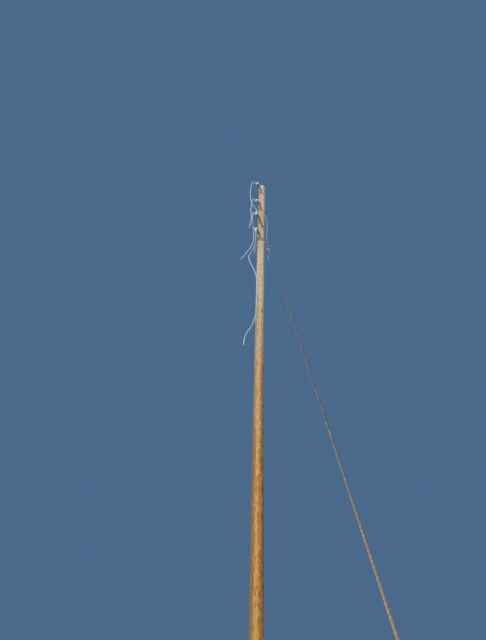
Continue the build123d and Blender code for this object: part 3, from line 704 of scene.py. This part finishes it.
def hollows(heights, turns):
    """How far each place of the shaft is sunk, and how far its column strays to a side."""
    broad, fine, stray = 0.0012, 0.0006, 0.06
    sunk = np.zeros((len(heights), len(turns)))
    wander = np.zeros_like(sunk)
    for i, z in enumerate(heights):
        for j, turn in enumerate(turns):
            p = Vector((math.cos(turn) * 1.3, math.sin(turn) * 1.3, z * 0.55))
            ripple = Vector((p.x * 9, p.y * 9, p.z * 1.5))
            sunk[i, j] = broad * (noise.noise(p * 2.0) - 1.0) + fine * noise.noise(ripple)
            wander[i, j] = stray * noise.noise(Vector((p.x, p.y, z * 0.9 + 40.0)))
    return sunk, wander


def raise_knots(wood, knots, z, turn, radius, sunk):
    """Raises the wood round each knot, and says how near each place is to one."""
    usual_size = 0.02
    knot = np.zeros_like(z)
    for level, at, size in knots:
        near = np.abs(z - level) < 4 * size
        gap = (turn - at + math.pi) % math.tau - math.pi
        far = np.hypot(gap * radius, (z - level) * 0.8) / size
        swell = np.exp(-(far**2) * 0.35) - 0.45 * np.exp(-(far**2) * 3.0)
        sunk += np.where(near, swell * wood.knot_height * size / usual_size, 0.0)
        knot = np.where(near, np.maximum(knot, np.exp(-(far**2) * 0.9)), knot)
    return knot


def open_checks(wood, checks, heights, turn, radius, sunk):
    """Sinks a column along each drying crack, its neighbours drawn close on both sides."""
    columns = wood.columns
    step = math.tau / columns
    crack = np.zeros_like(turn)
    for foot, span, middle, share in checks:
        along = (heights - foot) / span
        inside = (along > 0) & (along < 1)
        swell = np.clip(np.sin(np.clip(along, 0, 1) * math.pi) * 2.2, 0, 1)
        fade = np.where(inside, swell, 0.0)
        before, after = (middle - 1) % columns, (middle + 1) % columns
        for i in np.nonzero(fade > 0)[0]:
            half = 0.5 * wood.check_width * share * fade[i] / radius[i, middle]
            close = 1.0 - min(1.0, half / step)
            turn[i, before] += close * step * fade[i] * 0.98
            turn[i, after] -= close * step * fade[i] * 0.98
            sunk[i, middle] -= wood.check_depth * share * fade[i]
            crack[i, middle] = max(crack[i, middle], fade[i])
    return crack


def shape_shaft(obj, wood):
    """Tapers and bows the shaft, and gives it hollows, knots and drying cracks."""
    rng = random.Random(wood.seed)
    tall = SHAFT_BOX[1][2]
    columns, rows = wood.columns, wood.rows
    heights = np.arange(rows + 1) * tall / rows
    turns = np.arange(columns) * math.tau / columns
    z, turn = np.meshgrid(heights, turns, indexing="ij")
    radius = wood.ground_radius + (wood.top_radius - wood.ground_radius) * z / tall
    sunk, wander = hollows(heights, turns)
    turn = turn + wander
    layers = {"knot": raise_knots(wood, scatter_knots(rng, tall), z, turn, radius, sunk)}
    checks = scatter_checks(wood, rng, tall)
    layers["check"] = open_checks(wood, checks, heights, turn, radius, sunk)

    # The wood stays under the cap's sheet and, below it, inside the CAD box. Its top edge is round
    capped, under_cap, highest = 0.2, -0.0004, 0.0045
    sunk = np.minimum(sunk, np.where(z > tall - capped, under_cap, highest))
    edge = np.clip((z - tall + wood.top_round) / wood.top_round, 0.0, 1.0)
    sunk -= 0.8 * wood.top_round * (1.0 - np.sqrt(1.0 - edge**2))
    radius = radius + sunk
    lean = np.array([axis_x(wood, h) for h in heights])[:, None]
    grid = np.stack([lean + radius * np.cos(turn), radius * np.sin(turn), z], axis=-1)

    mesh = obj.data
    co = np.empty(len(mesh.vertices) * 3)
    mesh.vertices.foreach_get("co", co)
    co = co.reshape(-1, 3)
    column = np.rint(np.arctan2(co[:, 1], co[:, 0]) / math.tau * columns).astype(int) % columns
    row = np.rint(co[:, 2] / tall * rows).astype(int)
    mesh.vertices.foreach_set("co", grid[row, column].ravel())
    # Side masks: band for the painted highlight, shaded for painted shade and light, limb for painted edge
    # shade
    for name in ("band", "shaded", "limb"):
        way = outward(math.degrees(getattr(wood, name + "_azimuth")))
        layers[name] = way.x * np.cos(turn) + way.y * np.sin(turn)
    for name, values in layers.items():
        attribute = mesh.attributes.new(name, "FLOAT", "POINT")
        attribute.data.foreach_set("value", values[row, column])
    mesh.update()


def build_shaft(wood):
    """A tall cylinder cut into rows, then shaped as a weathered pole."""
    tall = SHAFT_BOX[1][2]
    obj = cylinder("weathered_shaft", wood.columns, wood.ground_radius, tall, tall / 2, math.pi / 2)
    choose(obj, "EDGE", lambda edge: abs(edge[0].z - edge[1].z) > tall / 2)
    bpy.ops.mesh.subdivide(number_cuts=wood.rows - 1)
    object_mode()
    shape_shaft(obj, wood)
    settle(obj, 55)
    stand_in(obj, wood_surface(wood), "pole_wood", "pole_shaft")


# The cap


def build_cap(metals):
    """A thin sheet pressed over the pole's top: rounded, dented, with a turned lip and nails."""
    low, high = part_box("pole_top_cap")
    foot, top = low[2], high[2]
    lip_top = foot + metals.cap_lip
    lean = axis_x(bpy.context.scene.pole_wood, foot)
    radius = metals.cap_radius
    slack, nail_height = 0.001, 0.016
    rings = (0.010, 0.011, 0.012, 0.012, 0.006)
    # How much wider and lower each step of the turned lip is
    lip_steps = ((0.0012, 0.003), (0.0009, 0.003), (-0.0004, 0.002))
    obj = cylinder("pressed_sheet_cap", 96, radius, top - lip_top, (top + lip_top) / 2)
    choose(obj, "FACE", lambda face: face.normal.z < -0.9)
    bpy.ops.mesh.delete(type="ONLY_FACE")
    choose(obj, "EDGE", lambda edge: all(v.z > top - slack for v in edge))
    bpy.ops.mesh.bevel(offset=metals.cap_round, segments=6, affect="EDGES")
    choose(obj, "FACE", lambda face: face.normal.z > 0.999)
    for ring in rings:
        bpy.ops.mesh.inset(thickness=ring)
    choose(obj, "EDGE", lambda edge: abs(edge[0].z - edge[1].z) > (top - foot) / 2)
    bpy.ops.mesh.subdivide(number_cuts=30)
    choose(obj, "EDGE", lambda edge: all(v.z < lip_top + slack for v in edge))
    for wider, lower in lip_steps:
        bpy.ops.mesh.extrude_edges_move(TRANSFORM_OT_translate={"value": (0, 0, -lower)})
        grow = 1.0 + wider / radius
        bpy.ops.transform.resize(value=(grow, grow, 1.0), center_override=(0, 0, foot))
    object_mode()
    dent_cap(obj, radius, foot, top, lean)
    modified(obj, "SOLIDIFY", thickness=metals.cap_sheet, offset=-1.0)
    nails = build_nails(metals, radius, foot + nail_height, lean)
    settle(joined((obj, nails)), 35)
    stand_in(obj, sheet_surface(metals), "cap_sheet", "pole_top_cap")


def dent_cap(obj, radius, foot, top, lean):
    """Dents and creases the cap's sheet, and leans it as the shaft does."""
    dent_depth, crease_depth, side_depth = 0.0048, 0.0018, 0.0021
    for vertex in obj.data.vertices:
        co = vertex.co
        share = (co.z - foot) / (top - foot)
        far = math.hypot(co.x, co.y)
        p = Vector((co.x * 26, co.y * 26, co.z * 15))
        crease = abs(noise.noise(Vector((p.x * 2.4, p.y * 2.4, p.z * 0.6))))
        dent = max(0.0, noise.noise(p) - 0.02) * dent_depth + crease * crease_depth
        side = min(1.0, far / radius)
        grow = 1.0 - min(dent, side_depth) * side / max(far, 0.001)
        co.x, co.y = co.x * grow + lean * (1.0 - share), co.y * grow
        if share > 0.9:
            co.z -= dent * (1.0 - side) * 1.6


def build_nails(metals, radius, z, lean):
    """Round-headed nails through the cap's lip, modelled once and copied."""
    thick, rounding, seated, first = 0.003, 0.0012, 0.0006, 0.37
    model = cylinder("nail_model", 20, metals.nail_radius, thick)
    choose(model, "EDGE", lambda edge: all(v.z > thick / 3 for v in edge))
    bpy.ops.mesh.bevel(offset=rounding, segments=3, affect="EDGES")
    object_mode()
    places = []
    for i in range(metals.nails):
        way = outward(360.0 * (i + first) / metals.nails)
        places.append(facing(Vector((lean, 0, z)) + way * (radius - seated), way))
    nails = scattered(model, places)
    apply_place()
    return nails


# Stranded bars


def strand_outline(radius, count):
    """Outline of a bar of strands laid side by side, as angle and distance pairs."""
    opening = math.sin(math.pi / count)
    strand = radius * opening / (1 + opening)
    middle = radius - strand
    outline = []
    for i in range(count):
        turn = math.tau * i / count
        outline.append((turn - math.pi / count, middle * math.cos(math.pi / count)))
        for degrees in (-50, 0, 50):
            bend = math.radians(degrees)
            x, y = middle + strand * math.cos(bend), strand * math.sin(bend)
            outline.append((turn + math.atan2(y, x), math.hypot(x, y)))
    return outline


def even_line(points, gap):
    """The same line with its points about a gap apart, and its length."""
    points = [Vector(p) for p in points]
    ends = [0.0]
    for a, b in zip(points, points[1:]):
        ends.append(ends[-1] + (b - a).length)
    count = max(2, round(ends[-1] / gap))
    line, k = [], 0
    for i in range(count + 1):
        at = ends[-1] * i / count
        while k < len(points) - 2 and ends[k + 1] < at:
            k += 1
        share = (at - ends[k]) / max(ends[k + 1] - ends[k], 1e-9)
        line.append(points[k].lerp(points[k + 1], min(max(share, 0.0), 1.0)))
    return line, ends[-1]


def stranded_bar(name, points, radius, count, lay, gap):
    """A bar of twisted strands along a line."""
    line, total = even_line(points, gap)
    outline = strand_outline(radius, count)
    across = (line[1] - line[0]).orthogonal().normalized()
    vertices, faces = [], []
    for i, centre in enumerate(line):
        ahead = (line[min(i + 1, len(line) - 1)] - line[max(i - 1, 0)]).normalized()
        across = (across - ahead * across.dot(ahead)).normalized()
        side = ahead.cross(across)
        twist = math.tau * total * i / (len(line) - 1) / lay
        for angle, far in outline:
            turn = angle + twist
            vertices.append(centre + (across * math.cos(turn) + side * math.sin(turn)) * far)
    n = len(outline)
    for i in range(len(line) - 1):
        for j in range(n):
            a, b = i * n + j, i * n + (j + 1) % n
            faces.append((a, b, b + n, a + n))
    faces.append(tuple(range(n - 1, -1, -1)))
    faces.append(tuple(range((len(line) - 1) * n, len(line) * n)))
    mesh = bpy.data.meshes.new(name)
    mesh.from_pydata(vertices, [], faces)
    obj = placed(name, mesh)
    settle(obj, 60)
    return obj


def wire_bar(name, points, wires, gap):
    return stranded_bar(name, points, wires.wire_radius, wires.outer_strands, wires.wire_lay, gap)


def route_line(name):
    """The smooth line through a route's control points."""
    curve = bpy.data.curves.new(name + "_line", "CURVE")
    curve.dimensions = "3D"
    curve.resolution_u = 24
    spline = curve.splines.new("NURBS")
    spline.points.add(len(ROUTES[name]) - 1)
    for point, place in zip(spline.points, ROUTES[name]):
        point.co = (*place, 1.0)
    spline.order_u = 3
    spline.use_endpoint_u = True
    holder = placed(name + "_line", curve)
    bpy.context.view_layer.update()
    mesh = bpy.data.meshes.new_from_object(holder)
    line = [v.co.copy() for v in mesh.vertices]
    bpy.data.curves.remove(curve)
    bpy.data.meshes.remove(mesh)
    return line


# Each cord's far end, and the CAD nodes that go with it
CORD_ENDS = {
    "jumper_A": ("object", []),
    "jumper_B": ("bare", ["jumper_connector"]),
    "jumper_C": ("bare", []),
    "jumper_D": ("object", []),
    "jumper_E": ("bare", []),
    "tap_cable": ("connector", ["service_connector"]),
}


def build_cords(wires):
    """The jumpers, the tails and the tap cable, each one stiff stranded wire."""
    surface = wire_surface("weathered_strands", wires.pale, wires.dull)
    # Paler strands for the tap cable, as painted light on a cable in the pole's shadow
    fresh = wire_surface("tap_painted_light_strands", wires.fresh, wires.tap_painted_light_dull)
    for name, (far_end, carried) in CORD_ENDS.items():
        line = route_line(name)
        obj = wire_bar("stranded_" + name, line, wires, wires.ring_gap)
        stand_in(obj, fresh if name == "tap_cable" else surface, "conductor", name)
    return surface


def turned_line(middle, ahead, side, radius, first, last, turn, steps):
    """A line in along one leg, round a centre and out along another, each leg given by its far end."""
    line = [middle + ahead * first[0] + side * first[1]]
    for i in range(steps + 1):
        angle = turn + (math.tau - 2 * turn) * i / steps
        line.append(middle + (ahead * math.cos(angle) + side * math.sin(angle)) * radius)
    line.append(middle + ahead * last[0] + side * last[1])
    return line


def build_line_loops(wires, surface):
    """The line wire's turn round each spool, with D's bare stub."""
    radius, leg, stub, steps = 0.0303, 0.069, 0.142, 24
    for name in END_NAMES:
        ahead = outward(LINE_HEADINGS[name])
        side = Vector((0, 0, 1)).cross(ahead) * -TAIL_SIDES[name]
        first, last = (leg, radius), (stub if name == "D" else leg, -radius)
        middle = box_middle("spool_" + name)
        line = turned_line(middle, ahead, side, radius, first, last, math.pi / 2, steps)
        obj = wire_bar("stranded_loop_" + name, line, wires, wires.ring_gap / 2)
        stand_in(obj, surface, "conductor", "line_loop_" + name)


# The stay


def build_stay(wires):
    """The twisted stay wire and its two wound grips."""
    # Where a grip's legs meet and the wire starts, both from the eye, and where the wound part goes
    throat, start, wound_start, wound_length = 0.150, 0.1553, -0.015, 0.760
    # Radius, strands, lay and ring gap of each bar
    wire_make = (wires.stay_radius, 6, wires.stay_lay, 0.012)
    loop_make = (wires.grip_bar, 5, 0.08, 0.005)
    wound_make = (wires.grip_radius, 10, wires.grip_lay, 0.006)
    surface = steel_surface(wires)
    down = (STAY_FOOT - STAY_TOP).normalized()
    line = [STAY_TOP + down * start, STAY_FOOT - down * start]
    stand_in(stranded_bar("twisted_stay_wire", line, *wire_make), surface, "stay_steel", "stay_wire")
    spread = wires.grip_bar * 1.06
    # Each grip's eye, the ways along the wire and across the loop, and the loop's radius
    cases = (
        ("top", STAY_TOP, down, STAY_BOLT.cross(down), 0.0283),
        ("bottom", STAY_FOOT, -down, STAY_BOLT, 0.0153),
    )
    for name, eye, ahead, across, radius in cases:
        tangent = math.atan2(spread, throat) + math.acos(radius / math.hypot(throat, spread))
        first, last = (throat, spread), (throat, -spread)
        line = turned_line(eye, ahead, across, radius, first, last, tangent, 28)
        loop = stranded_bar("grip_loop_" + name, line, *loop_make)
        line = [eye + ahead * (throat + wound_start), eye + ahead * (throat + wound_length)]
        grip = joined((loop, stranded_bar("grip_winding_" + name, line, *wound_make)))
        grip.name = "wound_grip_" + name
        stand_in(grip, surface, "stay_steel", "stay_grip_" + name)


# Threads


def thread_model(metals, radius, long):
    """A screw thread round the Z axis, modelled once and copied."""
    pitch = metals.thread_pitch
    root, half = radius - 0.0004, 0.45 * pitch
    deselect_all()
    bpy.ops.mesh.primitive_circle_add(vertices=3, radius=pitch / 2, fill_type="NOTHING", location=(0, 0, 0))
    obj = new_piece("thread_model")
    profile = ((root, -half), (radius + metals.thread_height, 0.0), (root, half))
    for vertex, (x, z) in zip(obj.data.vertices, profile):
        vertex.co = (x, 0.0, z)
    turns = max(1, round(long / pitch) - 1)
    modified(obj, "SCREW", axis="Z", screw_offset=pitch, iterations=turns, steps=20, render_steps=20)
    merge_corners(obj)
    bpy.ops.mesh.select_all(action="DESELECT")
    bpy.ops.mesh.select_non_manifold(extend=False, use_boundary=True)
    bpy.ops.mesh.edge_face_add()
    bpy.ops.mesh.select_all(action="SELECT")
    bpy.ops.mesh.normals_make_consistent(inside=False)
    object_mode()
    return obj


def build_threads(metals, surface):
    """Threads on the tails of the through bolts and hooks."""
    tail, bolt, over = 0.022, 0.008, 0.001
    wood = bpy.context.scene.pole_wood
    bolts = [("fixings_" + name, STRAP_AZIMUTHS[name], box_middle("strap_" + name).z) for name in END_NAMES]
    bolts += [("service_hook_" + name, azimuth, z) for name, (z, azimuth) in HOOKS.items()]
    places = []
    for node, azimuth, z in bolts:
        way = -outward(azimuth)
        start = Vector((axis_x(wood, z), 0, z))
        end = reach_along(node, start, way) + over
        places.append(facing(start + way * (end - tail), way))
    scattered(thread_model(metals, bolt, tail), places)
    threads = new_piece("bolt_threads")
    settle(threads, 30)
    stand_in(threads, surface, "galvanised")


# Stage


def build_stage(stage):
    """Pale floor, plain surroundings, soft key light and the camera at the photo's angle."""
    deselect_all()
    radius = stage.floor_radius
    bpy.ops.mesh.primitive_circle_add(vertices=96, radius=radius, fill_type="NGON", location=(0, 0, 0))
    floor = new_piece("pale_floor")
    dress(floor, floor_surface(stage.floor))

    world = bpy.data.worlds.new("plain_surroundings")
    world.use_nodes = True
    background = next(n for n in world.node_tree.nodes if n.type == "BACKGROUND")
    background.inputs["Color"].default_value = (*stage.backdrop, 1.0)
    bpy.context.scene.world = world

    deselect_all()
    bpy.ops.object.light_add(type="SUN", location=(-6, -10, 12))
    key = new_piece("key_light")
    key.data.energy = stage.sun_energy
    key.data.angle = stage.sun_softness
    key.data.color = stage.sun_colour
    flat = outward(math.degrees(stage.sun_azimuth))
    towards = flat * math.cos(stage.sun_elevation) + Vector((0, 0, 1)) * math.sin(stage.sun_elevation)
    key.rotation_euler = towards.to_track_quat("Z", "Y").to_euler()

    deselect_all()
    bpy.ops.object.camera_add()
    camera = new_piece("photo_camera")
    camera.data.lens = stage.lens
    look = Matrix.Rotation(math.pi / 2 + stage.pitch, 4, "X") @ Matrix.Rotation(stage.roll, 4, "Z")
    camera.matrix_world = Matrix.Translation(stage.eye) @ look
    bpy.context.scene.camera = camera


# Operators and panel


class POLE_OT_cords(bpy.types.Operator):
    """Lay the jumpers, tails, tap cable and line loops as stranded wire"""
    bl_idname = "pole.cords"
    bl_label = "Stranded wires"

    def execute(self, context):
        wires = context.scene.pole_wires
        build_line_loops(wires, build_cords(wires))
        return {"FINISHED"}


class POLE_OT_shaft(bpy.types.Operator):
    """Model the weathered wooden shaft with its knots and drying cracks"""
    bl_idname = "pole.shaft"
    bl_label = "Wooden shaft"

    def execute(self, context):
        build_shaft(context.scene.pole_wood)
        return {"FINISHED"}


class POLE_OT_cap(bpy.types.Operator):
    """Press, dent and nail the sheet cap"""
    bl_idname = "pole.cap"
    bl_label = "Sheet cap"

    def execute(self, context):
        build_cap(context.scene.pole_metals)
        return {"FINISHED"}


class POLE_OT_spools(bpy.types.Operator):
    """Glaze the spools and finish the black housing"""
    bl_idname = "pole.spools"
    bl_label = "Spools and housing"

    def execute(self, context):
        insulators = context.scene.pole_insulators
        glaze = glaze_surface(insulators)
        for name in END_NAMES:
            dress(NODES["spool_" + name], glaze)
        dress(NODES["service_connector"], housing_surface(insulators))
        return {"FINISHED"}


class POLE_OT_fittings(bpy.types.Operator):
    """Finish the straps, bolts, hooks and stay band in zinc, with their threads"""
    bl_idname = "pole.fittings"
    bl_label = "Zinc fittings"

    def execute(self, context):
        metals = context.scene.pole_metals
        surface = zinc_surface(metals)
        names = [f"{piece}_{name}" for piece in ("strap", "fixings") for name in END_NAMES]
        names += ["service_hook_" + name for name in HOOKS]
        names += ["stay_band_left", "stay_band_right", "stay_band_bolts", "stay_thimble", "stay_rod"]
        for name in names:
            rounded(name, metals.edge_round, surface, "galvanised")
        build_threads(metals, surface)
        return {"FINISHED"}


class POLE_OT_clamps(bpy.types.Operator):
    """Finish the cast clamps and connectors"""
    bl_idname = "pole.clamps"
    bl_label = "Cast clamps"

    def execute(self, context):
        names = ["line_clamp_" + name for name in END_NAMES] + ["wedge_clamp_" + name for name in HOOKS]
        names += ["tap_connectors", "bolt_lug"]
        metals = context.scene.pole_metals
        surface = alloy_surface(metals)
        dress(NODES["jumper_connector"], surface)
        for name in names:
            rounded(name, metals.edge_round, surface, "clamp_alloy")
        return {"FINISHED"}


class POLE_OT_stay(bpy.types.Operator):
    """Twist the stay wire and wind its grips"""
    bl_idname = "pole.stay"
    bl_label = "Stay"

    def execute(self, context):
        build_stay(context.scene.pole_wires)
        return {"FINISHED"}


class POLE_OT_stage(bpy.types.Operator):
    """Set the pale floor, the soft light and the camera"""
    bl_idname = "pole.stage"
    bl_label = "Stage"

    def execute(self, context):
        build_stage(context.scene.pole_stage)
        return {"FINISHED"}


OPERATORS = (
    POLE_OT_stage, POLE_OT_cords, POLE_OT_shaft, POLE_OT_cap,
    POLE_OT_spools, POLE_OT_fittings, POLE_OT_clamps, POLE_OT_stay,
)
GROUPS = {
    "pole_wood": PoleWood,
    "pole_metals": PoleMetals,
    "pole_wires": PoleWires,
    "pole_insulators": PoleInsulators,
    "pole_stage": PoleStage,
}


class POLE_PT_panel(bpy.types.Panel):
    """Pieces of the pole and their sizes and colours"""
    bl_idname = "POLE_PT_panel"
    bl_label = "Utility Pole"
    bl_space_type = "VIEW_3D"
    bl_region_type = "UI"
    bl_category = "Utility Pole"

    def draw(self, context):
        for operator in OPERATORS:
            self.layout.operator(operator.bl_idname)
        for name, group in GROUPS.items():
            box = self.layout.box()
            box.label(text=name.replace("_", " ").capitalize())
            for item in group.__annotations__:
                box.prop(getattr(context.scene, name), item, text=item.replace("_", " ").capitalize())


CLASSES = (*GROUPS.values(), *OPERATORS, POLE_PT_panel)


def register():
    for cls in CLASSES:
        bpy.utils.register_class(cls)
    for name, group in GROUPS.items():
        setattr(bpy.types.Scene, name, PointerProperty(type=group))


def unregister():
    for name in GROUPS:
        delattr(bpy.types.Scene, name)
    for cls in reversed(CLASSES):
        bpy.utils.unregister_class(cls)


def main():
    register()
    for operator in OPERATORS:
        group, action = operator.bl_idname.split(".")
        if getattr(getattr(bpy.ops, group), action)() != {"FINISHED"}:
            raise RuntimeError(f"{operator.bl_label} didn't finish")
    deselect_all()


if __name__ == "__main__":
    main()
